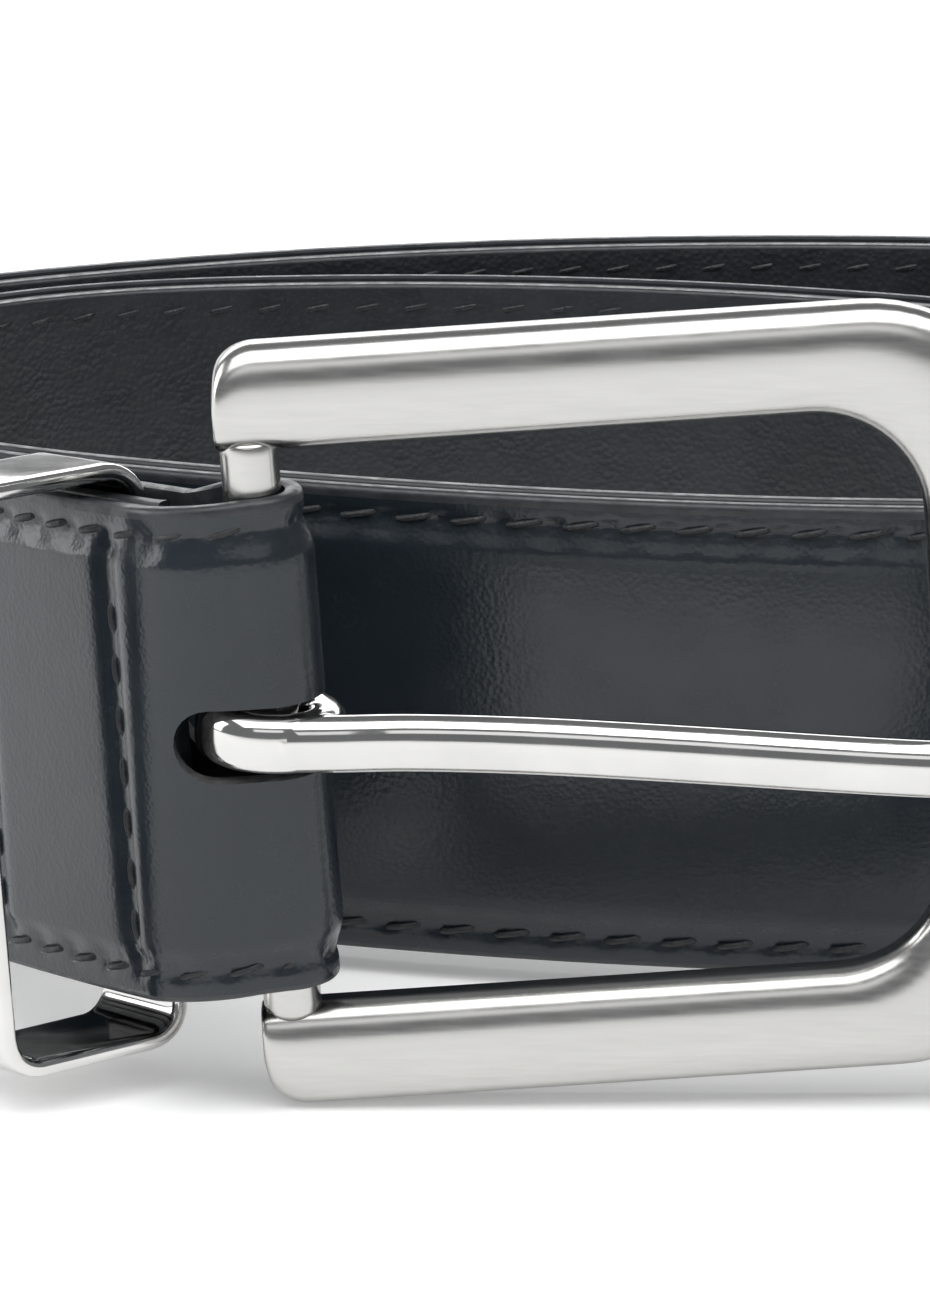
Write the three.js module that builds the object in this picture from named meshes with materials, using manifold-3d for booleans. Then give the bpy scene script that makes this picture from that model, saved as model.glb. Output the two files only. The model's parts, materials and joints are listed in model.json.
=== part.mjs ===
// A gentleman's leather dress belt, coiled nearly twice and standing on its edge.
// Millimetres, +Z up, +X to the right, +Y away from the buckle's face.
// The origin is the bottom centre of the coiled belt's bounding box.

import * as THREE from 'three';
import { mergeVertices } from 'three/addons/utils/BufferGeometryUtils.js';
import Module from 'manifold-3d';

const wasm = await Module();
wasm.setup();

// ---------- driving dimensions, mm and degrees ----------

const GAP = 0.3;                // clearance between pieces that touch in the real belt

// Strap: three plies, each lying behind the one before.
const STRAP_WIDTH = 35;
const OUTER_THICKNESS = 1.7;
const CORE_THICKNESS = 0.6;
const CORE_MARGIN = 4.2;        // the core stops this far inside each edge
const LINING_THICKNESS = 1.2;
const LINING_MARGIN = 0.3;      // the lining is trimmed this far inside each edge
const EDGE_CHAMFER = 0.3;       // burnished corners of the outer ply
const CROWN_STEP = 0.5;         // the padded middle stands this proud of the stitched margins
const CROWN_RAMP = 1.8;         // width of the slope between margin and middle
const TIP_LENGTH = 24;          // length of the rounded point
const TIP_FLAT = 0.18;          // share of the width left square at the very end
const TIP_POWER = 2.4;          // roundness of the point's outline

// Coil, followed from the fold: each stretch has a length and turns by an angle.
const COIL = [
  { length: 65, turn: 10 },     // straight run away from the fold
  { length: 52, turn: 92 },     // outer turn, left end
  { length: 38, turn: 14 },
  { length: 76, turn: 26 },     // outer turn, far side
  { length: 85, turn: 6 },
  { length: 65, turn: 147 },    // outer turn, right end
  { length: 92, turn: 8 },
  { length: 93, turn: 30 },     // inner turn, passing behind the buckle
  { length: 82, turn: 145 },    // inner turn, left end
  { length: 86, turn: 39 },     // inner turn, far side
  { length: 44, turn: 2 },
  { length: 45, turn: 153 },    // inner turn, right end
  { length: 42, turn: 7 },      // tip
];
const COIL_EASE = 24;           // bends run into each other over this length
const STEP_LENGTH = 12;         // longest facet along the strap
const STEP_TURN = 13;           // largest angle between facets

// How the coil stands: the fold is held up by the buckle, and the strap runs down to the table.
const DROP_LENGTH = 130;        // the strap has come down to the table after this length
const LEAN_LENGTH = 20;         // the strap leans with the buckle over its first part
const FRONT_LIFT = 2;           // the inner turn stands this high behind the buckle
const LIFT_START = 200;         // the strap lies on the table up to here, measured from the fold
const LIFT_FROM_Y = 20;         // the inner turn comes down to the table between these two depths
const LIFT_TO_Y = 98;

// Fold round the hinge bar.
const BAR_RADIUS = 2.0;
const FOLD_CLEARANCE = 0.3;     // between the bar and the leather round it
const FOLD_STRAIGHT = 2;
const FOLD_BEND_RADIUS = 10;
const FOLD_BEND = 52;
const FOLD_SAG = 0.5;           // the fold sits this much below the middle of the buckle
const PLY_START = 8.5;          // core and lining start this far from the bar
const FLAP_LENGTH = 36;         // length of the turned-back flap
const SLOT_LENGTH = 7.2;        // the prong's slot runs this far from the bar
const SLOT_HEIGHT = 5.6;

// Keeper: a metal ring whose back wall sits in a pocket between the lining and the flap.
const KEEPER_START = 14.5;      // distance from the bar along the strap
const KEEPER_WIDTH = 9.5;
const KEEPER_WALL = 1.3;
const KEEPER_PLAY = 0.5;        // between its back wall and the leather either side
const KEEPER_ROOM_Z = 2.0;      // room above and below the strap
const KEEPER_ROOM_FRONT = 8.4;  // room in front of the strap for the belt's other end
const KEEPER_RADIUS = 3.2;      // outer corners
const KEEPER_SAG = 1.1;
const POCKET_RAMP = 4;          // the flap closes on the lining again over this length
const POCKET_PLAY = 1.6;        // free length each side of the keeper

// Buckle frame, in its own plane: the bar is at 0, the opening runs to the right.
const BUCKLE_TILT = 3.95;       // the frame leans, its free end up
const STRAP_ROOM = 2.3;         // between the strap's edges and the arms
const OPENING_LENGTH = 45.4;    // from the bar's axis to the end bar
const ARM_WIDTH = 7.4;
const END_WIDTH = 8.4;
const FRAME_THICKNESS = 4.6;
const ARM_OVERHANG = 2.2;       // the arms reach this far past the bar's axis
const ARM_END_RADIUS = 2.8;     // outer corners of the arms' ends
const OUTER_RADIUS = 12;
const INNER_RADIUS = 7.5;
const FRAME_BEVEL = 1.4;
const TENON_RADIUS = 1.2;       // the bar's thinner ends, set into the arms
const BAR_INSET = 1.6;          // the tenons stop this far inside the arms' outer faces

// Prong.
const PRONG_HEIGHT = 4.0;
const PRONG_DEPTH = 3.0;
const PRONG_BORE_PLAY = 0.35;
const PRONG_LOOP_WALL = 2.9;
const PRONG_DROOP = 5;          // it hangs lower at the tip, within the play of its loop
const PRONG_REST_GAP = 0.3;     // between the prong and the end bar it rests on
const PRONG_OVERREACH = 1.2;    // the tip passes the end bar's outer edge by this much
const PRONG_TIP_LENGTH = 7;
const PRONG_SINK = 0.2;         // the rod sinks this far into the loop it grows from
const PRONG_BELLY = 0.5;        // it bows forwards by this much half way

// Sewing thread and punched holes.
const THREAD_DIAMETER = 0.6;
const STITCH_INSET = 2.2;       // from the strap's edge
const CROSS_STITCHES = [12.2, 29];  // rows across the strap either side of the keeper
const CROSS_MARGIN = 3.6;       // the cross rows stop this far inside the edges
const HOLE_COUNT = 5;
const HOLE_PITCH = 20;
const HOLE_DIAMETER = 4;
const FIRST_HOLE = 55;          // from the tip to the nearest hole

// ---------- worked-out sizes ----------

const rad = THREE.MathUtils.degToRad;
const UP = new THREE.Vector3(0, 0, 1);
const FORWARD = new THREE.Vector3(0, 1, 0);
const FOLD_RADIUS = BAR_RADIUS + FOLD_CLEARANCE + OUTER_THICKNESS;
const CORE_OFFSET = OUTER_THICKNESS + GAP;
const LINING_OFFSET = CORE_OFFSET + CORE_THICKNESS + GAP;
const STACK_THICKNESS = LINING_OFFSET + LINING_THICKNESS;
const POCKET_OFFSET = STACK_THICKNESS + KEEPER_WALL + 2 * KEEPER_PLAY;
const POCKET_END = KEEPER_START + KEEPER_WIDTH + POCKET_PLAY;
const OPENING_HEIGHT = STRAP_WIDTH + 2 * STRAP_ROOM;
const FRAME_HALF_HEIGHT = OPENING_HEIGHT / 2 + ARM_WIDTH;
const LEAN = rad(BUCKLE_TILT);
const BAR_HEIGHT = FRAME_HALF_HEIGHT * Math.cos(LEAN) + ARM_OVERHANG * Math.sin(LEAN);
const FOLD_LIFT = BAR_HEIGHT - FOLD_SAG - STRAP_WIDTH / 2;
const BEND_LENGTH = FOLD_BEND_RADIUS * rad(FOLD_BEND);
const COIL_START = FOLD_STRAIGHT + BEND_LENGTH;
const STRAP_LENGTH = COIL_START + COIL.reduce((sum, stretch) => sum + stretch.length, 0);

// ---------- the line that the strap follows ----------

// Total turn of the coil up to a distance, without easing.
function plainTurn(distance) {
  let turned = 0;
  let left = distance;
  for (const { length, turn } of COIL) {
    const part = THREE.MathUtils.clamp(left / length, 0, 1);
    turned += part * turn;
    left -= length;
  }
  return turned;
}

const EASE_SAMPLES = 12;

// Heading in degrees at a distance from the fold, averaged over the ease length;
// 180 points left along -X.
function headingAt(distance) {
  const bend = THREE.MathUtils.clamp((distance - FOLD_STRAIGHT) / BEND_LENGTH, 0, 1) * FOLD_BEND;
  let turned = 0;
  for (let i = 0; i <= EASE_SAMPLES; i += 1) {
    turned += plainTurn(distance - COIL_START + COIL_EASE * (i / EASE_SAMPLES - 0.5));
  }
  return 180 - bend - turned / (EASE_SAMPLES + 1);
}

// The strap's face line in plan, walked in short steps.
const WALK_STEP = 0.5;
const WALK = [{ x: 0, y: -FOLD_RADIUS }];
for (let i = 0; i * WALK_STEP < STRAP_LENGTH; i += 1) {
  const heading = rad(headingAt((i + 0.5) * WALK_STEP));
  const { x, y } = WALK[i];
  WALK.push({ x: x + WALK_STEP * Math.cos(heading), y: y + WALK_STEP * Math.sin(heading) });
}

function planAt(distance) {
  const place = THREE.MathUtils.clamp(distance / WALK_STEP, 0, WALK.length - 1.001);
  const i = Math.floor(place);
  return {
    x: THREE.MathUtils.lerp(WALK[i].x, WALK[i + 1].x, place - i),
    y: THREE.MathUtils.lerp(WALK[i].y, WALK[i + 1].y, place - i),
  };
}

// Height of the strap's lower edge above the table.
function liftAt(distance) {
  if (distance < DROP_LENGTH) {
    return FOLD_LIFT * (1 - distance / DROP_LENGTH) ** 2;
  }
  if (distance < LIFT_START) {
    return 0;
  }
  return FRONT_LIFT * (1 - THREE.MathUtils.smoothstep(planAt(distance).y, LIFT_FROM_Y, LIFT_TO_Y));
}

// Place and directions of the strap at a distance from the fold, on its outer face.
// out points away from the coil's middle, up runs across the strap's width.
function stationAt(distance) {
  const { x, y } = planAt(distance);
  const heading = rad(headingAt(distance));
  const along = new THREE.Vector3(Math.cos(heading), Math.sin(heading), 0);
  const slope = Math.atan2(liftAt(distance + 1) - liftAt(distance - 1), 2);
  const settled = THREE.MathUtils.smoothstep(distance, 0, LEAN_LENGTH);
  const lean = THREE.MathUtils.lerp(-LEAN, slope, settled);
  const out = new THREE.Vector3(-along.y, along.x, 0);
  const up = UP.clone().applyAxisAngle(out, -lean);
  along.applyAxisAngle(out, -lean);
  const middle = liftAt(distance) + STRAP_WIDTH / 2;
  return { point: new THREE.Vector3(x, y, middle), along, out, up, width: 1 };
}

// Distances that facet the strap finely where it bends.
function distancesBetween(from, to) {
  const list = [from];
  let last = from;
  for (let at = from + WALK_STEP; at < to - WALK_STEP; at += WALK_STEP) {
    const turned = Math.abs(headingAt(at) - headingAt(last));
    if (at - last >= STEP_LENGTH || turned >= STEP_TURN) {
      list.push(at);
      last = at;
    }
  }
  list.push(to);
  return list;
}

// The tip's rounded outline, as a share of the full width.
function tipWidth(distance) {
  const left = THREE.MathUtils.clamp((STRAP_LENGTH - distance) / TIP_LENGTH, 0, 1);
  return TIP_FLAT + (1 - TIP_FLAT) * Math.sqrt(1 - (1 - left) ** TIP_POWER);
}

const TIP_STEPS = [0.3, 0.55, 0.75, 0.9, 0.97];
const BODY_DISTANCES = [
  ...distancesBetween(PLY_START, STRAP_LENGTH - TIP_LENGTH),
  ...TIP_STEPS.map((share) => STRAP_LENGTH - TIP_LENGTH * (1 - share)),
  STRAP_LENGTH,
];

function shapedStation(distance, offset) {
  const station = stationAt(distance);
  station.point.addScaledVector(station.out, -offset);
  station.width = tipWidth(distance);
  return station;
}

// The turned-back flap opposite a distance along the strap; its grain side faces inwards.
function flapAt(distance) {
  const station = stationAt(distance);
  const closed = THREE.MathUtils.smoothstep(distance, POCKET_END, POCKET_END + POCKET_RAMP);
  const open = 1 - THREE.MathUtils.smoothstep(distance, 0, KEEPER_START);
  const pocket = THREE.MathUtils.lerp(POCKET_OFFSET, STACK_THICKNESS + GAP, closed);
  const inner = THREE.MathUtils.lerp(pocket, 2 * FOLD_RADIUS - OUTER_THICKNESS, open);
  station.point.addScaledVector(station.out, -inner - OUTER_THICKNESS);
  station.along.negate();
  station.out.negate();
  return station;
}

// Stations of the flap, from its end to the fold.
function flapStations() {
  const list = distancesBetween(FOLD_STRAIGHT, FLAP_LENGTH);
  list.push(POCKET_END, POCKET_END + POCKET_RAMP);
  list.sort((a, b) => b - a);
  return list.map(flapAt);
}

// Stations round the hinge bar, from the back of the fold to its front.
const FOLD_FACETS = 10;
function foldStations() {
  const list = [];
  const middle = new THREE.Vector3(0, 0, FOLD_LIFT + STRAP_WIDTH / 2);
  for (let i = 0; i <= FOLD_FACETS; i += 1) {
    const angle = rad(90 - (180 * i) / FOLD_FACETS);
    const out = new THREE.Vector3(Math.cos(angle), Math.sin(angle), 0);
    const along = new THREE.Vector3(Math.sin(angle), -Math.cos(angle), 0);
    const up = UP.clone();
    for (const direction of [out, along, up]) {
      direction.applyAxisAngle(FORWARD, -LEAN);
    }
    list.push({ point: middle.clone().addScaledVector(out, FOLD_RADIUS), along, out, up, width: 1 });
  }
  return list;
}

// ---------- sweeping a section along stations ----------

// A curve whose frames are given: shape x runs outwards, shape y across the width.
class StrapRun extends THREE.Curve {
  constructor(stations) {
    super();
    this.stations = stations;
  }

  getPoint(t) {
    return this.stations[Math.round(t * (this.stations.length - 1))].point.clone();
  }

  getSpacedPoints() {
    return this.stations.map((station) => station.point);
  }

  computeFrenetFrames() {
    return {
      tangents: this.stations.map((station) => station.along),
      normals: this.stations.map((station) => station.out),
      binormals: this.stations.map((station) => station.up.clone().multiplyScalar(station.width)),
    };
  }
}

function sweep(points, stations) {
  const shape = new THREE.Shape(points.map(([x, y]) => new THREE.Vector2(x, y)));
  const extrudePath = new StrapRun(stations);
  const steps = stations.length - 1;
  return new THREE.ExtrudeGeometry(shape, { steps, bevelEnabled: false, extrudePath });
}

// Section of the outer ply: thin stitched margins and a padded middle, x = 0 on the crown.
function outerSection() {
  const edge = STRAP_WIDTH / 2;
  const crown = edge - STITCH_INSET - 2 * THREAD_DIAMETER;
  const half = [
    [-OUTER_THICKNESS, edge - EDGE_CHAMFER],
    [-OUTER_THICKNESS + EDGE_CHAMFER, edge],
    [-CROWN_STEP - EDGE_CHAMFER, edge],
    [-CROWN_STEP, edge - EDGE_CHAMFER],
    [-CROWN_STEP, crown],
    [0, crown - CROWN_RAMP],
  ];
  const mirrored = half.map(([x, y]) => [x, -y]).reverse();
  return [...half, ...mirrored, [-OUTER_THICKNESS, 0]];
}

function plySection(thickness, margin) {
  const half = STRAP_WIDTH / 2 - margin;
  return [[-thickness, -half], [0, -half], [0, 0], [0, half], [-thickness, half], [-thickness, 0]];
}

// ---------- joining and cutting ----------

function toManifold(geometry) {
  const bare = geometry.clone();
  bare.deleteAttribute('normal');
  bare.deleteAttribute('uv');
  const merged = mergeVertices(bare, 1e-5);
  const vertProperties = new Float32Array(merged.attributes.position.array);
  const triVerts = new Uint32Array(merged.index.array);
  return new wasm.Manifold(new wasm.Mesh({ numProp: 3, vertProperties, triVerts }));
}

function fromManifold(solid) {
  const { vertProperties, triVerts } = solid.getMesh();
  const geometry = new THREE.BufferGeometry();
  geometry.setAttribute('position', new THREE.BufferAttribute(new Float32Array(vertProperties), 3));
  geometry.setIndex(new THREE.BufferAttribute(new Uint32Array(triVerts), 1));
  return geometry;
}

function cut(geometry, tools) {
  let solid = toManifold(geometry);
  for (const tool of tools) {
    solid = solid.subtract(toManifold(tool));
  }
  return fromManifold(solid);
}

const SLOT_TOOL_DEPTH = 24;

// The prong's slot: a round-ended prism through the fold, from front to back.
function slotTool() {
  const half = SLOT_HEIGHT / 2;
  const shape = new THREE.Shape();
  shape.moveTo(2 * FOLD_RADIUS, -half);
  shape.lineTo(2 * FOLD_RADIUS, half);
  shape.lineTo(-SLOT_LENGTH + half, half);
  shape.absarc(-SLOT_LENGTH + half, 0, half, Math.PI / 2, 1.5 * Math.PI, false);
  const tool = new THREE.ExtrudeGeometry(shape, {
    depth: SLOT_TOOL_DEPTH,
    bevelEnabled: false,
    curveSegments: 5,
  });
  tool.translate(0, 0, -SLOT_TOOL_DEPTH / 2);
  tool.rotateX(Math.PI / 2);
  tool.rotateY(-LEAN);
  tool.translate(0, 0, BAR_HEIGHT);
  return tool;
}

// Punches for the adjustment holes, square to the strap.
function holeTools() {
  const tools = [];
  for (let i = 0; i < HOLE_COUNT; i += 1) {
    const station = stationAt(STRAP_LENGTH - FIRST_HOLE - i * HOLE_PITCH);
    const radius = HOLE_DIAMETER / 2;
    const tool = new THREE.CylinderGeometry(radius, radius, 4 * STACK_THICKNESS, 12);
    tool.applyQuaternion(new THREE.Quaternion().setFromUnitVectors(FORWARD, station.out));
    tool.translate(station.point.x, station.point.y, station.point.z);
    tools.push(tool);
  }
  return tools;
}

// ---------- the strap's pieces ----------

const FACE_DISTANCES = [...distancesBetween(0, PLY_START).slice(1, -1), ...BODY_DISTANCES];
const FACE_STATIONS = FACE_DISTANCES.map((distance) => shapedStation(distance, 0));
const GRAIN_STATIONS = [...flapStations(), ...foldStations(), ...FACE_STATIONS];
const HOLES = holeTools();

function outerLeather() {
  return cut(sweep(outerSection(), GRAIN_STATIONS), [slotTool(), ...HOLES]);
}

function core() {
  const stations = BODY_DISTANCES.map((distance) => shapedStation(distance, CORE_OFFSET));
  return cut(sweep(plySection(CORE_THICKNESS, CORE_MARGIN), stations), [slotTool(), ...HOLES]);
}

function lining() {
  const stations = BODY_DISTANCES.map((distance) => shapedStation(distance, LINING_OFFSET));
  return cut(sweep(plySection(LINING_THICKNESS, LINING_MARGIN), stations), [slotTool(), ...HOLES]);
}

// ---------- sewing threads ----------

// A four-sided thread through points that lie on a face with the given outward directions.
function threadThrough(spots) {
  const half = THREAD_DIAMETER / 2;
  const stations = spots.map(({ point, out }, i) => {
    const before = spots[Math.max(i - 1, 0)].point;
    const after = spots[Math.min(i + 1, spots.length - 1)].point;
    const along = after.clone().sub(before).normalize();
    const up = along.clone().cross(out).normalize();
    return { point, along, out, up, width: 1 };
  });
  return sweep([[half, 0], [0, half], [-half, 0], [0, -half]], stations);
}

// A spot on a face, height away from the strap's centre line and proud of the face by half a thread.
function spotOn(station, height, surface) {
  const point = station.point.clone();
  point.addScaledVector(station.up, height);
  point.addScaledVector(station.out, surface + GAP + THREAD_DIAMETER / 2);
  return { point, out: station.out };
}

// Stitching that runs along the upper edge, round the tip and back along the lower edge.
function edgeThread(stations, surface) {
  const row = STRAP_WIDTH / 2 - STITCH_INSET;
  const last = stations.length - 2;
  const upper = [];
  const lower = [];
  for (let i = 0; i <= last; i += 1) {
    const height = row * stations[i].width;
    const level = i === last ? 0 : surface;   // round the tip the thread crosses the padded middle
    upper.push(spotOn(stations[i], height, level));
    lower.push(spotOn(stations[i], -height, level));
  }
  return threadThrough([...upper, ...lower.reverse()]);
}

function needleThread() {
  return edgeThread(GRAIN_STATIONS, -CROWN_STEP);
}

// The lining's stitching, on the coil's inner side, from the flap's end to the tip.
function bobbinThread() {
  const distances = BODY_DISTANCES.filter((distance) => distance > FLAP_LENGTH + THREAD_DIAMETER);
  const stations = distances.map((distance) => {
    const station = shapedStation(distance, STACK_THICKNESS);
    station.out.negate();
    return station;
  });
  return edgeThread(stations, 0);
}

// A row of stitching straight across the strap, at a distance from the bar.
function crossThread(distance, onFlap) {
  const reach = STRAP_WIDTH / 2 - STITCH_INSET - CROSS_MARGIN;
  const station = onFlap ? flapAt(distance) : stationAt(distance);
  return threadThrough([spotOn(station, -reach, 0), spotOn(station, 0, 0), spotOn(station, reach, 0)]);
}

// ---------- buckle ----------

// Outline of the frame in its own plane: two arms, an end bar and rounded corners.
function frameShape() {
  const inner = OPENING_HEIGHT / 2 + FRAME_BEVEL;
  const outer = FRAME_HALF_HEIGHT - FRAME_BEVEL;
  const left = -ARM_OVERHANG + FRAME_BEVEL;
  const right = OPENING_LENGTH + END_WIDTH - FRAME_BEVEL;
  const opening = OPENING_LENGTH + FRAME_BEVEL;
  const outerRadius = OUTER_RADIUS - FRAME_BEVEL;
  const innerRadius = INNER_RADIUS + FRAME_BEVEL;
  const endRadius = ARM_END_RADIUS - FRAME_BEVEL;
  const shape = new THREE.Shape();
  shape.absarc(left + endRadius, -outer + endRadius, endRadius, Math.PI, 1.5 * Math.PI, false);
  shape.lineTo(right - outerRadius, -outer);
  shape.absarc(right - outerRadius, -outer + outerRadius, outerRadius, -Math.PI / 2, 0, false);
  shape.absarc(right - outerRadius, outer - outerRadius, outerRadius, 0, Math.PI / 2, false);
  shape.absarc(left + endRadius, outer - endRadius, endRadius, Math.PI / 2, Math.PI, false);
  shape.lineTo(left, inner);
  shape.absarc(opening - innerRadius, inner - innerRadius, innerRadius, Math.PI / 2, 0, true);
  shape.absarc(opening - innerRadius, -inner + innerRadius, innerRadius, 0, -Math.PI / 2, true);
  shape.lineTo(left, -inner);
  shape.closePath();
  return shape;
}

function uprightRod(radius, length) {
  const rod = new THREE.CylinderGeometry(radius, radius, length, 16);
  rod.rotateX(Math.PI / 2);
  return rod;
}

function buckleFrame() {
  const depth = FRAME_THICKNESS - 2 * FRAME_BEVEL;
  const frame = new THREE.ExtrudeGeometry(frameShape(), {
    depth,
    bevelThickness: FRAME_BEVEL,
    bevelSize: FRAME_BEVEL,
    bevelSegments: 2,
    curveSegments: 8,
  });
  frame.translate(0, 0, -depth / 2);
  frame.rotateX(Math.PI / 2);
  const sockets = uprightRod(TENON_RADIUS + GAP, 2 * (FRAME_HALF_HEIGHT - BAR_INSET + GAP));
  return cut(frame, [sockets]);
}

// A round bar whose thinner ends sit in the arms.
function hingeBar() {
  const shoulder = OPENING_HEIGHT / 2 - GAP;
  const end = FRAME_HALF_HEIGHT - BAR_INSET;
  const profile = [
    [0, -end], [TENON_RADIUS, -end], [TENON_RADIUS, -shoulder], [BAR_RADIUS, -shoulder],
    [BAR_RADIUS, shoulder], [TENON_RADIUS, shoulder], [TENON_RADIUS, end], [0, end],
  ].map(([x, y]) => new THREE.Vector2(x, y));
  const bar = new THREE.LatheGeometry(profile, 16);
  bar.rotateX(Math.PI / 2);
  return bar;
}

// ---------- prong ----------

// A loop round the bar, then a rod that lies over the end bar and tapers at its tip.
function prong() {
  const bore = BAR_RADIUS + PRONG_BORE_PLAY;
  const loopRadius = bore + PRONG_LOOP_WALL;
  const half = PRONG_HEIGHT / 2;
  const soft = half * 0.4;
  const profile = [
    [bore, -half + soft], [bore + soft, -half],
    [loopRadius - soft, -half], [loopRadius, -half + soft],
    [loopRadius, half - soft], [loopRadius - soft, half],
    [bore + soft, half], [bore, half - soft],
    [bore, -half + soft],
  ].map(([x, y]) => new THREE.Vector2(x, y));
  const loop = new THREE.LatheGeometry(profile, 20);
  loop.rotateX(Math.PI / 2);

  const restY = -FRAME_THICKNESS / 2 - PRONG_REST_GAP - PRONG_DEPTH / 2;
  const rootY = -(loopRadius - PRONG_DEPTH / 2 - PRONG_SINK);
  const tipX = OPENING_LENGTH + END_WIDTH + PRONG_OVERREACH;
  const straight = tipX - PRONG_TIP_LENGTH;
  const spots = [
    [0.5, rootY, 1], [6, rootY - PRONG_SINK, 1],
    [OPENING_LENGTH * 0.5, (rootY + restY) / 2 - PRONG_BELLY, 1],
    [OPENING_LENGTH - 3, restY, 1], [straight, restY, 0.98],
    [tipX - 2.5, restY + 0.2, 0.85], [tipX - 0.7, restY + 0.4, 0.62], [tipX, restY + 0.5, 0.3],
  ];
  const sides = 12;
  const section = [];
  for (let i = 0; i < sides; i += 1) {
    const angle = (2 * Math.PI * i) / sides;
    section.push([(PRONG_DEPTH / 2) * Math.cos(angle), half * Math.sin(angle)]);
  }
  const stations = spots.map(([x, y, scale]) => ({
    point: new THREE.Vector3(x, y, 0),
    along: new THREE.Vector3(1, 0, 0),
    out: new THREE.Vector3(0, -1, 0).multiplyScalar(scale),
    up: new THREE.Vector3(0, 0, -1),
    width: scale,
  }));
  const rod = toManifold(sweep(section, stations));
  const passage = toManifold(uprightRod(bore, 2 * PRONG_HEIGHT));
  return fromManifold(toManifold(loop).add(rod).subtract(passage));
}

// ---------- keeper ----------

// A rectangular ring with round corners: x runs outwards from the strap, y up, z along the strap.
function roundedRectangle(target, x0, x1, y0, y1, radius) {
  target.absarc(x1 - radius, y1 - radius, radius, 0, Math.PI / 2, false);
  target.absarc(x0 + radius, y1 - radius, radius, Math.PI / 2, Math.PI, false);
  target.absarc(x0 + radius, y0 + radius, radius, Math.PI, 1.5 * Math.PI, false);
  target.absarc(x1 - radius, y0 + radius, radius, 1.5 * Math.PI, 2 * Math.PI, false);
  target.closePath();
}

function keeperRing() {
  const back = -(STACK_THICKNESS + KEEPER_PLAY);
  const front = KEEPER_ROOM_FRONT;
  const half = STRAP_WIDTH / 2 + KEEPER_ROOM_Z;
  const wall = KEEPER_WALL;
  const shape = new THREE.Shape();
  roundedRectangle(shape, back - wall, front + wall, -half - wall, half + wall, KEEPER_RADIUS);
  const hole = new THREE.Path();
  roundedRectangle(hole, back, front, -half, half, KEEPER_RADIUS - wall);
  shape.holes.push(hole);
  return new THREE.ExtrudeGeometry(shape, {
    depth: KEEPER_WIDTH,
    bevelEnabled: false,
    curveSegments: 5,
  });
}

// ---------- colours and assembly ----------

const BLACK_LEATHER = { color: 0x2b3036, roughness: 0.32, metalness: 0 };
const GREY_SPLIT = { color: 0x3a3733, roughness: 0.9, metalness: 0 };
const LINING_LEATHER = { color: 0x25282c, roughness: 0.45, metalness: 0 };
const BLACK_THREAD = { color: 0x15171a, roughness: 0.7, metalness: 0 };
const SATIN_STEEL = { color: 0xb9b8b4, roughness: 0.34, metalness: 1 };
const POLISHED_STEEL = { color: 0xd2d1ce, roughness: 0.12, metalness: 1 };

function piece(name, geometry, look) {
  const mesh = new THREE.Mesh(geometry, new THREE.MeshStandardMaterial(look));
  mesh.name = name;
  return mesh;
}

const strap = new THREE.Group();
strap.add(
  piece('outer_leather', outerLeather(), BLACK_LEATHER),
  piece('strap_core', core(), GREY_SPLIT),
  piece('lining_leather', lining(), LINING_LEATHER),
  piece('needle_thread', needleThread(), BLACK_THREAD),
  piece('bobbin_thread', bobbinThread(), BLACK_THREAD),
  piece('fold_stitch_front', crossThread(CROSS_STITCHES[0], false), BLACK_THREAD),
  piece('fold_stitch_back', crossThread(CROSS_STITCHES[0], true), BLACK_THREAD),
  piece('flap_stitch_front', crossThread(CROSS_STITCHES[1], false), BLACK_THREAD),
  piece('flap_stitch_back', crossThread(CROSS_STITCHES[1], true), BLACK_THREAD),
);

const buckle = new THREE.Group();
buckle.position.z = BAR_HEIGHT;
buckle.rotation.y = -LEAN;
const prongPiece = piece('prong', prong(), POLISHED_STEEL);
prongPiece.rotation.y = rad(PRONG_DROOP);
buckle.add(
  piece('buckle_frame', buckleFrame(), SATIN_STEEL),
  piece('hinge_bar', hingeBar(), SATIN_STEEL),
  prongPiece,
);

const keeperPiece = piece('keeper_ring', keeperRing(), POLISHED_STEEL);
const keeperStation = stationAt(KEEPER_START + KEEPER_WIDTH / 2);
const keeperAxes = new THREE.Matrix4().makeBasis(
  keeperStation.out,
  keeperStation.up,
  keeperStation.out.clone().cross(keeperStation.up),
);
keeperPiece.quaternion.setFromRotationMatrix(keeperAxes);
keeperPiece.position.copy(keeperStation.point);
keeperPiece.position.addScaledVector(keeperStation.up, -KEEPER_SAG);
keeperPiece.translateZ(-KEEPER_WIDTH / 2);

const belt = new THREE.Group();
belt.add(strap, buckle, keeperPiece);
const box = new THREE.Box3().setFromObject(belt, true);
belt.position.set(-(box.min.x + box.max.x) / 2, -(box.min.y + box.max.y) / 2, -box.min.z);

const group = new THREE.Group();
group.add(belt);

export default group;
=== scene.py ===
import json
import math

import bmesh
import bpy
import numpy as np
from mathutils import Matrix, Vector


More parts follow.
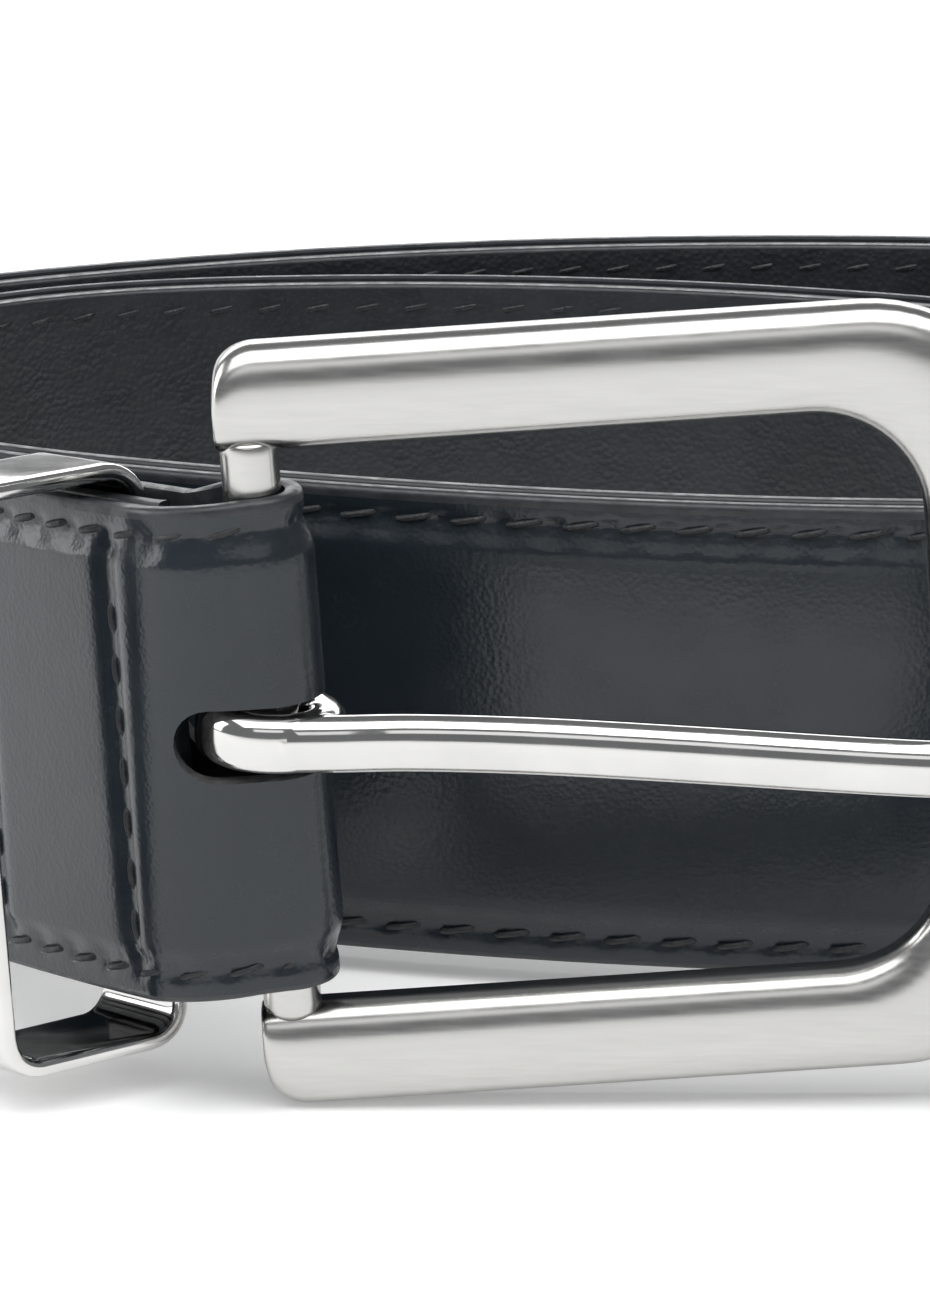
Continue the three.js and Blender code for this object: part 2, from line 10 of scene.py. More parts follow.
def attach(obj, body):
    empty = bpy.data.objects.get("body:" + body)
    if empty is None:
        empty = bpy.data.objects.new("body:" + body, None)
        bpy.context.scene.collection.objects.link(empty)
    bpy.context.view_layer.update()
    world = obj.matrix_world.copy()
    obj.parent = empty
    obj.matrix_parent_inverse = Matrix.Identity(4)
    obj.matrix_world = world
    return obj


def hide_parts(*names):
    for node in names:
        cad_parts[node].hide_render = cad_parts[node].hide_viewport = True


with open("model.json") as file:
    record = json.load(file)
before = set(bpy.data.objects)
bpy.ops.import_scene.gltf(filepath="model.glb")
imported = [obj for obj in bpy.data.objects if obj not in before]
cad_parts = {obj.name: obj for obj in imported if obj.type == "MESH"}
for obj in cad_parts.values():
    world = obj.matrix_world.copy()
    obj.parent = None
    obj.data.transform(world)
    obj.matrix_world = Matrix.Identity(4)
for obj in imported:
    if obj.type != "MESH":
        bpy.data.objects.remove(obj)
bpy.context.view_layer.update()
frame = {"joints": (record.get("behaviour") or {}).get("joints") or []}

# A black leather dress belt coiled on its edge, with a satin prong buckle and a polished keeper.

MM = 0.001

# ---------- sizes, mm and degrees; the strap's line and the buckle follow the CAD model ----------

STRAP_WIDTH = 35.0
OUTER_THICKNESS = 1.7
STACK_THICKNESS = 4.1
CORE_OFFSET = 1.74            # core and lining lie this deep behind the grain face
CORE_THICKNESS = 1.1
CORE_MARGIN = 0.3
LINING_OFFSET = 2.88
LINING_THICKNESS = 1.2
LINING_MARGIN = 0.12
# Length and turn of each stretch of the coil, from the fold.
COIL = [
    (65, 10), (52, 92), (38, 14), (76, 26), (85, 6), (65, 147), (92, 8),
    (93, 30), (82, 145), (86, 39), (44, 2), (45, 153), (42, 7),
]
COIL_EASE = 24.0
DROP_LENGTH = 130.0           # the strap has come down to the table after this length
LEAN_LENGTH = 20.0            # and leans with the buckle over its first part
FRONT_LIFT = 2.0
LIFT_START = 200.0
LIFT_FROM_Y = 20.0
LIFT_TO_Y = 98.0
BAR_RADIUS = 2.0
BAR_BEVEL = 0.4
BAR_INTO_ARM = 0.8            # the bar's ends reach this far into the arms
FOLD_PLAY = 0.3
FOLD_RADIUS = BAR_RADIUS + FOLD_PLAY + OUTER_THICKNESS
FOLD_STRAIGHT = 2.0
FOLD_BEND_RADIUS = 10.0
FOLD_BEND = 52.0
FOLD_SAG = 0.5
PLY_START = 8.5
FLAP_LENGTH = 36.0
SLOT_LENGTH = 6.6
SLOT_HEIGHT = 5.2
TIP_LENGTH = 24.0
TIP_FLAT = 0.18
TIP_POWER = 2.4
TIP_SPACING = 1.6             # sections close up towards the very end
KEEPER_START = 14.5
KEEPER_WIDTH = 9.5
KEEPER_WALL = 1.3
KEEPER_PLAY = 0.5
KEEPER_ROOM_Z = 2.0
KEEPER_ROOM_FRONT = 8.4
KEEPER_RADIUS = 3.2
KEEPER_SAG = 1.1
POCKET_RAMP = 4.0
POCKET_PLAY = 1.6
BUCKLE_TILT = 3.95
OPENING_HEIGHT = 39.6
OPENING_LENGTH = 45.4
ARM_WIDTH = 7.4
END_WIDTH = 8.4
FRAME_THICKNESS = 4.6
ARM_OVERHANG = 2.2
ARM_END_RADIUS = 2.8
ARM_END_BEVEL = 0.7
ARM_END_SHARE = 0.88          # an arm's end face, as a share of its section
FRONT_CROWN = 2.5             # the frame's front is rounder than its back
BACK_CROWN = 4.0
OUTER_RADIUS = 12.0
INNER_RADIUS = 7.5
PRONG_HEIGHT = 4.0
PRONG_DEPTH = 3.0
PRONG_BORE_PLAY = 0.35
PRONG_LOOP_WALL = 2.9
PRONG_DROOP = 6.0
PRONG_POINT = 5.0             # the rod narrows over this length at its tip
STITCH_PITCH = 4.1
STITCH_INSET = 2.0
THREAD_DIAMETER = 0.5
STITCH_GAP = 0.1              # share of the pitch left bare at each end of a stitch
STITCH_DIP = 0.6              # how far a stitch's ends sink below its middle
STITCH_END = 0.35             # the thread's share of its radius at a stitch's ends
CROSS_ROWS = (12.2, 29.0)
HOLE_COUNT = 5
HOLE_PITCH = 20.0
HOLE_DIAMETER = 4.0
FIRST_HOLE = 55.0

HINGE = next(j for j in frame["joints"] if j["name"] == "buckle_hinge")
BAR = np.array(HINGE["pos_m"]) / MM           # the hinge bar's middle
TILT = math.radians(BUCKLE_TILT)
FOLD_LIFT = BAR[2] - FOLD_SAG - STRAP_WIDTH / 2
BEND_LENGTH = FOLD_BEND_RADIUS * math.radians(FOLD_BEND)
COIL_START = FOLD_STRAIGHT + BEND_LENGTH
STRAP_LENGTH = COIL_START + sum(length for length, _ in COIL)


def smoothstep(x, low, high):
    t = np.clip((np.asarray(x, float) - low) / (high - low), 0.0, 1.0)
    return t * t * (3 - 2 * t)


def unit(v):
    return v / np.linalg.norm(v, axis=-1, keepdims=True)


def turned(v, axis, angle):
    """Vectors turned about unit axes by angles, row by row."""
    angle = np.asarray(angle)[..., None]
    dot = np.sum(v * axis, axis=-1, keepdims=True)
    return v * np.cos(angle) + np.cross(axis, v) * np.sin(angle) + axis * dot * (1 - np.cos(angle))


# ---------- the line that the strap follows ----------

class Line:
    """Places along the strap's grain face: u is the distance from the fold's front, in mm.
    Below 0 it runs round the bar and back along the turned-back flap."""

    def __init__(self, step=0.5):
        s = np.arange(0.0, STRAP_LENGTH + step, step)
        heading = np.radians(self.heading(s))
        middle = np.radians(self.heading(s[:-1] + step / 2))
        x = np.concatenate([[0.0], np.cumsum(step * np.cos(middle))])
        y = np.concatenate([[0.0], np.cumsum(step * np.sin(middle))]) - FOLD_RADIUS
        lift = self.lift(s, y)
        slope = np.gradient(lift, s)
        weight = smoothstep(s, 0, LEAN_LENGTH)
        lean = -TILT * (1 - weight) + np.arctan(slope) * weight
        along = np.stack([np.cos(heading), np.sin(heading), 0 * s], axis=1)
        out = np.stack([-along[:, 1], along[:, 0], 0 * s], axis=1)
        up = turned(np.tile([0.0, 0.0, 1.0], (len(s), 1)), out, -lean)
        along = turned(along, out, -lean)
        point = np.stack([x, y, lift + STRAP_WIDTH / 2], axis=1)
        self.s, self.front = s, (point, along, out, up)
        flap = self.flap_rows()
        fold = self.fold_rows()
        rows = [np.concatenate([a[:-1], b[:-1], c]) for a, b, c in zip(flap, fold, self.front)]
        gaps = np.linalg.norm(np.diff(rows[0], axis=0), axis=1)
        u = np.concatenate([[0.0], np.cumsum(gaps)])
        start = len(flap[0]) + len(fold[0]) - 2
        u -= u[start]
        u[start:] = s
        self.u, self.rows = u, rows

    @staticmethod
    def heading(s):
        ends = np.cumsum([0.0] + [length for length, _ in COIL])
        turns = np.cumsum([0.0] + [turn for _, turn in COIL])
        bend = np.clip((s - FOLD_STRAIGHT) / BEND_LENGTH, 0, 1) * FOLD_BEND
        shifts = np.linspace(-COIL_EASE / 2, COIL_EASE / 2, 13)
        eased = np.mean([np.interp(s - COIL_START + shift, ends, turns) for shift in shifts], axis=0)
        return 180 - bend - eased

    @staticmethod
    def lift(s, y):
        drop = FOLD_LIFT * (1 - s / DROP_LENGTH) ** 2
        rise = FRONT_LIFT * (1 - smoothstep(y, LIFT_FROM_Y, LIFT_TO_Y))
        return np.where(s < DROP_LENGTH, drop, np.where(s < LIFT_START, 0.0, rise))

    def at(self, s):
        """Place and directions on the strap's face at distances s of 0 or more."""
        return [np.stack([np.interp(s, self.s, a[:, i]) for i in range(3)], axis=-1) for a in self.front]

    def grain(self, u):
        """The same along the whole grain face, flap and fold included."""
        point, along, out, up = [
            np.stack([np.interp(u, self.u, a[:, i]) for i in range(3)], axis=-1) for a in self.rows
        ]
        return point, unit(along), unit(out), unit(up)

    def flap_rows(self):
        s = np.arange(FLAP_LENGTH, -0.01, -0.5)
        point, along, out, up = self.at(s)
        pocket_end = KEEPER_START + KEEPER_WIDTH + POCKET_PLAY
        closed = smoothstep(s, pocket_end, pocket_end + POCKET_RAMP)
        opened = 1 - smoothstep(s, 0, KEEPER_START)
        pocket = STACK_THICKNESS + KEEPER_WALL + 2 * KEEPER_PLAY
        inner = pocket * (1 - closed) + (STACK_THICKNESS + 0.3) * closed
        inner = inner * (1 - opened) + (2 * FOLD_RADIUS - OUTER_THICKNESS) * opened
        return point - out * (inner + OUTER_THICKNESS)[:, None], -along, -out, up

    @staticmethod
    def fold_rows():
        angle = np.radians(np.linspace(90, -90, 37))
        zero = 0 * angle
        out = np.stack([np.cos(angle), np.sin(angle), zero], axis=1)
        along = np.stack([np.sin(angle), -np.cos(angle), zero], axis=1)
        up = np.tile([0.0, 0.0, 1.0], (len(angle), 1))
        lean = np.tile([0.0, 1.0, 0.0], (len(angle), 1))
        out, along, up = [turned(v, lean, np.full(len(angle), -TILT)) for v in (out, along, up)]
        middle = np.array([0.0, 0.0, FOLD_LIFT + STRAP_WIDTH / 2])
        return middle + out * FOLD_RADIUS, along, out, up


LINE = Line()
FLAP_END = LINE.u[0]


def tip_width(u):
    """The rounded point's outline, as a share of the full width."""
    left = np.clip((STRAP_LENGTH - np.asarray(u, float)) / TIP_LENGTH, 0.0, 1.0)
    return TIP_FLAT + (1 - TIP_FLAT) * np.sqrt(np.clip(1 - (1 - left) ** TIP_POWER, 0, 1))


def to_row(points):
    """From mm about the bar's foot to metres in the row frame."""
    return (points + np.array([BAR[0], BAR[1], 0.0])) * MM


# ---------- mesh helpers ----------

def make_object(name, points, faces, materials, indices=None, smooth=True):
    mesh = bpy.data.meshes.new(name)
    mesh.from_pydata([tuple(p) for p in points], [], [tuple(f) for f in faces])
    for material in materials:
        mesh.materials.append(material)
    if indices is not None:
        mesh.polygons.foreach_set("material_index", indices)
    mesh.polygons.foreach_set("use_smooth", [smooth] * len(mesh.polygons))
    mesh.update()
    obj = bpy.data.objects.new(name, mesh)
    bpy.context.scene.collection.objects.link(obj)
    fix = bmesh.new()
    fix.from_mesh(mesh)
    bmesh.ops.recalc_face_normals(fix, faces=fix.faces)
    fix.to_mesh(mesh)
    fix.free()
    return obj


def skin_faces(count, width, ring=False, start=0):
    """Quads between count rings of width points, with the rings joined in a loop if ring is set."""
    i = np.arange(count if ring else count - 1)[:, None]
    j = np.arange(width)[None, :]
    a = i * width + j
    b = i * width + (j + 1) % width
    c = ((i + 1) % count) * width + (j + 1) % width
    d = ((i + 1) % count) * width + j
    return (np.stack([a, b, c, d], axis=-1).reshape(-1, 4) + start).tolist()


def skin(name, rings, materials, ring=False, band=None):
    """A closed skin through rings of points in metres. band gives each section edge's material slot."""
    count, width = rings.shape[:2]
    faces = skin_faces(count, width, ring)
    indices = None
    if band is not None:
        indices = list(band) * (count if ring else count - 1)
    if not ring:
        faces.append(list(range(width - 1, -1, -1)))
        faces.append(list(range((count - 1) * width, count * width)))
        if indices is not None:
            indices += [0, 0]
    return make_object(name, rings.reshape(-1, 3), faces, materials, indices)


def islands(name, groups, materials):
    """Many closed tubes in one mesh; groups is an array of tubes, rings and points."""
    tubes, count, width = groups.shape[:3]
    faces = []
    for k in range(tubes):
        start = k * count * width
        faces += skin_faces(count, width, start=start)
        faces.append([start + j for j in range(width - 1, -1, -1)])
        faces.append([start + (count - 1) * width + j for j in range(width)])
    return make_object(name, groups.reshape(-1, 3), faces, materials)


def squared_circle(count, c_power, s_power):
    """Points round a circle, pushed out towards its square by powers below 1."""
    points = []
    for k in range(count):
        c, s = math.cos(2 * math.pi * k / count), math.sin(2 * math.pi * k / count)
        points.append((math.copysign(abs(c) ** c_power, c), math.copysign(abs(s) ** s_power, s)))
    return points


CUT_ANGLE = 40.0      # edges that turn more than this are shaded sharp after a cut


def apply_modifiers(obj):
    depsgraph = bpy.context.evaluated_depsgraph_get()
    mesh = bpy.data.meshes.new_from_object(obj.evaluated_get(depsgraph))
    obj.modifiers.clear()
    obj.data = mesh


def subtract(obj, cutter):
    modifier = obj.modifiers.new("cut", "BOOLEAN")
    modifier.operation = "DIFFERENCE"
    modifier.solver = "EXACT"
    modifier.object = cutter
    bpy.context.view_layer.update()
    apply_modifiers(obj)
    obj.data.set_sharp_from_angle(angle=math.radians(CUT_ANGLE))
    bpy.data.objects.remove(cutter)


# ---------- materials ----------

class Nodes:
    """Short calls for building a node material."""

    def __init__(self, name):
        self.material = bpy.data.materials.new(name)
        self.material.use_nodes = True
        self.tree = self.material.node_tree
        self.shader = self.tree.nodes["Principled BSDF"]
        self.place = self.add("ShaderNodeTexCoord").outputs["Object"]

    def add(self, kind, **values):
        node = self.tree.nodes.new(kind)
        for key, value in values.items():
            setattr(node, key, value)
        return node

    def link(self, a, b):
        self.tree.links.new(a, b)

    def stretched(self, x, y, z):
        mapping = self.add("ShaderNodeMapping")
        mapping.inputs["Scale"].default_value = (x, y, z)
        self.link(self.place, mapping.inputs["Vector"])
        return mapping.outputs["Vector"]

    def noise(self, scale, detail=2.0, vector=None, roughness=0.5):
        node = self.add("ShaderNodeTexNoise")
        node.inputs["Scale"].default_value = scale
        node.inputs["Detail"].default_value = detail
        node.inputs["Roughness"].default_value = roughness
        self.link(vector or self.place, node.inputs["Vector"])
        return node.outputs["Fac"]

    def cells(self, scale, feature="F1"):
        node = self.add("ShaderNodeTexVoronoi", feature=feature)
        node.inputs["Scale"].default_value = scale
        self.link(self.place, node.inputs["Vector"])
        return node.outputs["Distance"]

    def blend(self, factor, stops):
        node = self.add("ShaderNodeValToRGB")
        ramp = node.color_ramp
        while len(ramp.elements) < len(stops):
            ramp.elements.new(0.5)
        for element, (place, color) in zip(ramp.elements, stops):
            element.position = place
            element.color = color if len(color) == 4 else (*color, 1.0)
        self.link(factor, node.inputs["Fac"])
        return node.outputs["Color"]

    def span(self, factor, low, high, source=(0.0, 1.0)):
        node = self.add("ShaderNodeMapRange")
        node.inputs["From Min"].default_value = source[0]
        node.inputs["From Max"].default_value = source[1]
        node.inputs["To Min"].default_value = low
        node.inputs["To Max"].default_value = high
        self.link(factor, node.inputs["Value"])
        return node.outputs["Result"]

    def bump(self, height, strength, distance, below=None):
        node = self.add("ShaderNodeBump")
        node.inputs["Strength"].default_value = strength
        node.inputs["Distance"].default_value = distance
        self.link(height, node.inputs["Height"])
        if below is not None:
            self.link(below, node.inputs["Normal"])
        return node.outputs["Normal"]

    def set(self, **values):
        for key, value in values.items():
            self.shader.inputs[key.replace("_", " ")].default_value = value

    def drive(self, **outputs):
        for key, output in outputs.items():
            self.link(output, self.shader.inputs[key.replace("_", " ")])


def grain_leather():
    m = Nodes("grain_leather")
    tone = m.noise(60, 3)
    m.drive(Base_Color=m.blend(tone, [(0.3, (0.010, 0.0145, 0.0195)), (0.75, (0.0145, 0.0205, 0.0265))]))
    m.drive(Roughness=m.span(m.noise(260, 3), 0.2, 0.29, (0.3, 0.7)))
    pores = m.bump(m.cells(2600), 0.08, 0.0002)
    m.drive(Normal=m.bump(m.noise(420, 3), 0.035, 0.0006, pores))
    m.set(Specular_IOR_Level=0.5)
    return m.material


def edge_paint():
    m = Nodes("edge_paint")
    tone = m.noise(500, 3)
    m.drive(Base_Color=m.blend(tone, [(0.3, (0.016, 0.018, 0.021)), (0.8, (0.032, 0.035, 0.04))]))
    m.drive(Roughness=m.span(m.noise(900, 2), 0.3, 0.5, (0.3, 0.7)))
    m.drive(Normal=m.bump(m.noise(1500, 3), 0.25, 0.0002))
    return m.material


def cut_edge():
    m = Nodes("cut_edge")
    tone = m.noise(1400, 3)
    m.drive(Base_Color=m.blend(tone, [(0.3, (0.05, 0.05, 0.052)), (0.8, (0.13, 0.13, 0.135))]))
    m.drive(Roughness=m.span(m.noise(900, 2), 0.45, 0.7, (0.3, 0.7)))
    m.drive(Normal=m.bump(m.noise(2600, 3), 0.3, 0.0002))
    return m.material


def lining_leather():
    m = Nodes("lining_leather")
    tone = m.noise(90, 3)
    m.drive(Base_Color=m.blend(tone, [(0.3, (0.016, 0.0185, 0.0215)), (0.75, (0.026, 0.0295, 0.034))]))
    m.drive(Roughness=m.span(m.noise(300, 3), 0.34, 0.5, (0.3, 0.7)))
    pores = m.bump(m.cells(2100), 0.22, 0.0003)
    m.drive(Normal=m.bump(m.noise(520, 3), 0.18, 0.0006, pores))
    return m.material


def core_fibre():
    m = Nodes("core_fibre")
    tone = m.noise(1200, 4)
    m.drive(Base_Color=m.blend(tone, [(0.3, (0.022, 0.022, 0.023)), (0.8, (0.045, 0.044, 0.043))]))
    m.drive(Roughness=m.span(m.noise(700, 2), 0.6, 0.85, (0.3, 0.7)))
    m.drive(Normal=m.bump(m.noise(2200, 3), 0.4, 0.0003))
    return m.material


def waxed_thread():
    m = Nodes("waxed_thread")
    tone = m.noise(3000, 2)
    m.drive(Base_Color=m.blend(tone, [(0.3, (0.006, 0.0065, 0.0075)), (0.8, (0.02, 0.022, 0.025))]))
    m.drive(Roughness=m.span(m.noise(1500, 2), 0.4, 0.65, (0.3, 0.7)))
    m.drive(Normal=m.bump(m.noise(4200, 2), 0.5, 0.0002))
    return m.material


def satin_steel():
    m = Nodes("satin_steel")
    brushing = m.noise(1.0, 3, m.stretched(260, 3200, 3200))
    m.drive(Base_Color=m.blend(brushing, [(0.25, (0.50, 0.495, 0.48)), (0.75, (0.555, 0.55, 0.535))]))
    m.drive(Roughness=m.span(brushing, 0.19, 0.27, (0.25, 0.75)))
    m.drive(Normal=m.bump(brushing, 0.03, 0.0001))
    m.set(Metallic=1.0)
    return m.material


def polished_steel():
    m = Nodes("polished_steel")
    smear = m.noise(180, 3)
    m.drive(Base_Color=m.blend(smear, [(0.3, (0.60, 0.595, 0.585)), (0.75, (0.67, 0.665, 0.655))]))
    m.drive(Roughness=m.span(smear, 0.07, 0.15, (0.3, 0.7)))
    m.drive(Normal=m.bump(m.noise(240, 2), 0.04, 0.0005))
    m.set(Metallic=1.0)
    return m.material


GRAIN = grain_leather()
EDGE = edge_paint()
CUT = cut_edge()
LINING = lining_leather()
CORE = core_fibre()
THREAD = waxed_thread()
SATIN = satin_steel()
POLISHED = polished_steel()


# ---------- strap plies ----------

HALF = STRAP_WIDTH / 2
EDGE_ROUND = 0.45
CROWN_STEP = 0.5
RAMP_FROM = 2.7       # the padded middle starts rising this far from the edge
RAMP_TO = 4.3         # and is level from here
RAMP_POWER = 0.75
ROW_PULL = 0.42       # depth and half width of the dent along a row across the strap
ROW_PULL_WIDTH = 1.0
ROW_REACH = (2.0, 3.2)
GROOVE_DEPTH = 0.14   # the groove that the edge stitching lies in
GROOVE_WIDTH = 0.42
NEEDLE_DEPTH = 0.26   # the dent at each needle hole
NEEDLE_WIDTH = 0.5
SCALLOP_DEPTH = 0.07  # the padding's edge bulges between the holes
SCALLOP_OFFSET = 0.35
SCALLOP_WIDTH = 0.5
FINE_TO = 66.0        # sections are close together up to here
FINE_FRONT = (430.0, 640.0)   # and where the strap passes behind the buckle
SLOT_CUTTER_FRONT = 9.0
SLOT_CUTTER_DEPTH = 30.0
HOLE_CUTTER_DEPTH = 16.0


def stitch_phase(u):
    return (np.asarray(u) / STITCH_PITCH) % 1.0


def cross_pull(u, y):
    """How far the rows across the strap pull the grain face down."""
    depth = 0.0
    for row in CROSS_ROWS:
        depth = depth + ROW_PULL * np.exp(-(((u - row) / ROW_PULL_WIDTH) ** 2))
    reach = smoothstep(HALF - np.abs(y), *ROW_REACH)
    return depth * reach


def grain_depth(u, y):
    """Depth of the grain face below the padded middle's level at a place on the strap."""
    inset = HALF - np.abs(y)
    rise = smoothstep(inset, RAMP_FROM, RAMP_TO) ** RAMP_POWER
    depth = CROWN_STEP * (1 - rise)
    along = np.abs(stitch_phase(u) - 0.5) * STITCH_PITCH
    hole = np.exp(-((along - STITCH_PITCH / 2) / NEEDLE_WIDTH) ** 2)
    hole = hole * np.exp(-((inset - STITCH_INSET) / NEEDLE_WIDTH) ** 2)
    scallop = np.exp(-((inset - RAMP_FROM - SCALLOP_OFFSET) / SCALLOP_WIDTH) ** 2)
    scallop = np.cos(2 * math.pi * stitch_phase(u)) * scallop
    groove = GROOVE_DEPTH * np.exp(-((inset - STITCH_INSET) / GROOVE_WIDTH) ** 2)
    return depth + groove + NEEDLE_DEPTH * hole + SCALLOP_DEPTH * scallop + cross_pull(u, y)


def grain_stations():
    fine = np.arange(FLAP_END, FINE_TO, 0.5)
    front = np.arange(*FINE_FRONT, 0.55)
    between = np.arange(FINE_TO, FINE_FRONT[0], 1.0)
    beyond = np.arange(FINE_FRONT[1], STRAP_LENGTH - TIP_LENGTH, 1.0)
    tip = STRAP_LENGTH - TIP_LENGTH * np.linspace(1, 0, 30) ** TIP_SPACING
    return np.unique(np.round(np.concatenate([fine, front, between, beyond, tip]), 4))


def across_lines():
    edge = [HALF - EDGE_ROUND * (1 - math.cos(math.radians(a))) for a in (15, 40, 65)]
    edge.append(HALF - EDGE_ROUND)
    margin = list(np.arange(HALF - 0.8, HALF - RAMP_TO - 0.1, -0.34))
    middle = list(np.linspace(HALF - RAMP_TO - 0.8, 0.9, 6))
    half = edge + margin + middle
    return np.array(half + [0.0] + [-y for y in reversed(half)])


def outer_leather_piece():
    u = grain_stations()
    point, _, out, up = LINE.grain(u)
    y = across_lines()
    side = np.array([0.95, 0.6, 0.3])
    width = tip_width(u)[:, None]
    depth = grain_depth(u[:, None], y[None, :] * np.ones((len(u), 1)))
    inset = HALF - np.abs(y)[None, :]
    curve = EDGE_ROUND - np.sqrt(np.clip(EDGE_ROUND**2 - (EDGE_ROUND - inset) ** 2, 0, 1))
    roll = np.where(inset < EDGE_ROUND, curve, 0)
    front_x = -(depth + roll)
    ends = np.minimum(1.0, np.minimum(u - u[0], u[-1] - u)[:, None] / 0.5)
    front_x = front_x - 0.3 * (1 - np.sqrt(np.clip(1 - (1 - ends) ** 2, 0, 1)))
    left_x = np.tile(-OUTER_THICKNESS + 0.1 + (OUTER_THICKNESS - 1.05) * side[::-1] * 0.9, (len(u), 1))
    back_y = np.linspace(-HALF + 0.15, HALF - 0.15, 9)
    section_y = np.concatenate([y, np.full(3, -HALF), back_y, np.full(3, HALF)])
    section_x = np.concatenate(
        [front_x, left_x[:, ::-1], np.full((len(u), 9), -OUTER_THICKNESS), left_x], axis=1
    )
    rings = point[:, None, :] + out[:, None, :] * section_x[..., None]
    rings = rings + up[:, None, :] * (section_y[None, :] * width)[..., None]
    n = len(y)
    band = [1] * 4 + [0] * (n - 8) + [1] * (len(section_y) - n + 4)
    piece = skin("outer_leather_skin", to_row(rings), [GRAIN, EDGE, CUT], band=band)
    subtract(piece, slot_cutter())
    for cutter in hole_cutters():
        subtract(piece, cutter)
    return piece


def ply(name, offset, thickness, margin, materials, start):
    """A plain ply with rounded edges, offset behind the grain face."""
    tip = STRAP_LENGTH - TIP_LENGTH * np.linspace(1, 0, 24) ** TIP_SPACING
    u = np.concatenate([np.arange(start, STRAP_LENGTH - TIP_LENGTH, 1.2), tip])
    point, _, out, up = LINE.at(u)
    half = HALF - margin
    r = min(0.35, thickness * 0.4)
    y, x = [], []
    for k in range(7):
        y.append(half - r + r * math.sin(math.radians(15 * k)))
        x.append(-r + r * math.cos(math.radians(15 * k)))
    for k in range(7):
        y.append(half - r + r * math.cos(math.radians(15 * k)))
        x.append(-thickness + r - r * math.sin(math.radians(15 * k)))
    inner = list(np.linspace(half - r - 1, -(half - r - 1), 7))
    y = y + inner + [-v for v in reversed(y)] + inner[::-1]
    x = x + [-thickness] * 7 + list(reversed(x)) + [0.0] * 7
    y, x = np.array(y), np.array(x)
    width = tip_width(u)[:, None]
    rings = point[:, None, :] + out[:, None, :] * (x - offset)[None, :, None]
    rings = rings + up[:, None, :] * (y[None, :] * width)[..., None]
    band = [1] * 13 + [0] * 8 + [1] * 13 + [0] * 8
    piece = skin(name, to_row(rings), materials, band=band)
    for cutter in hole_cutters():
        subtract(piece, cutter)
    return piece


def core_piece():
    looks = [CORE, EDGE, CUT]
    return ply("core_filler", CORE_OFFSET, CORE_THICKNESS, CORE_MARGIN, looks, PLY_START)


def lining_piece():
    looks = [LINING, EDGE, CUT]
    return ply("lining_skin", LINING_OFFSET, LINING_THICKNESS, LINING_MARGIN, looks, PLY_START)


def prism(name, outline, depth, material, place):
    """A closed prism of an outline in x and z, running along y, moved by a matrix in mm."""
    count = len(outline)
    points = [Vector((x, side * depth / 2, z)) for side in (-1, 1) for x, z in outline]
    faces = [list(range(count)), list(range(2 * count - 1, count - 1, -1))]
    faces += [[i, (i + 1) % count, (i + 1) % count + count, i + count] for i in range(count)]
    return make_object(name, [(place @ p) * MM for p in points], faces, [material], smooth=False)


def slot_cutter():
    half = SLOT_HEIGHT / 2
    outline = [(SLOT_CUTTER_FRONT, -half), (SLOT_CUTTER_FRONT, half)]
    for k in range(13):
        angle = math.radians(90 + 15 * k)
        outline.append((-SLOT_LENGTH + half + half * math.cos(angle), half * math.sin(angle)))
    place = Matrix.Translation(Vector(BAR)) @ Matrix.Rotation(-TILT, 4, "Y")
    return prism("slot_cutter", outline, SLOT_CUTTER_DEPTH, CUT, place)


def hole_cutters():
    cutters = []
    for i in range(HOLE_COUNT):
        spot = np.array([STRAP_LENGTH - FIRST_HOLE - i * HOLE_PITCH])
        point, along, out, up = [v[0] for v in LINE.at(spot)]
        outline = []
        for k in range(24):
            angle = math.radians(15 * k)
            outline.append((HOLE_DIAMETER / 2 * math.cos(angle), HOLE_DIAMETER / 2 * math.sin(angle)))
        axes = Matrix((along, out, up)).transposed().to_4x4()
        centre = Vector(point) + Vector((BAR[0], BAR[1], 0))
        place = Matrix.Translation(centre) @ axes
        cutters.append(prism("hole_cutter", outline, HOLE_CUTTER_DEPTH, CUT, place))
    return cutters


# ---------- stitching ----------

def stitch_row(name, spots, outs, slant=0.3, proud=0.1):
    """Separate stitches through hole places, each arching from one hole to the next."""
    sides, rings = 8, 9
    tubes = []
    for a, b, out in zip(spots[:-1], spots[1:], outs):
        span = b - a
        length = np.linalg.norm(span)
        along = span / length
        across = np.cross(out, along)
        tube = []
        for k in range(rings):
            t = k / (rings - 1)
            share = STITCH_GAP + (1 - 2 * STITCH_GAP) * t
            place = a + span * share + across * (slant * (t - 0.5) * 2)
            arch = proud - STITCH_DIP * abs(2 * t - 1) ** 3
            radius = THREAD_DIAMETER / 2 * (1.0 if 0 < k < rings - 1 else STITCH_END)
            ring = []
            for j in range(sides):
                angle = 2 * math.pi * j / sides
                raised = out * (arch + radius * math.cos(angle))
                ring.append(place + raised + across * radius * math.sin(angle))
            tube.append(ring)
        tubes.append(tube)
    return islands(name, to_row(np.array(tubes)), [THREAD])


def edge_path(start):
    """Hole places (u, y) of the seam: along the upper edge, round the tip and back."""
    tip = STRAP_LENGTH - TIP_LENGTH * np.linspace(1, 0.12, 60)
    u = np.concatenate([np.arange(start, STRAP_LENGTH - TIP_LENGTH, 0.5), tip])
    y = (HALF - STITCH_INSET) * tip_width(u)
    path = np.concatenate([np.stack([u, y], axis=1), np.stack([u, -y], axis=1)[::-1]])
    gaps = np.concatenate([[0.0], np.cumsum(np.linalg.norm(np.diff(path, axis=0), axis=1))])
    first = math.ceil(start / STITCH_PITCH) * STITCH_PITCH - start
    places = np.arange(first, gaps[-1], STITCH_PITCH)
    return np.interp(places, gaps, path[:, 0]), np.interp(places, gaps, path[:, 1])


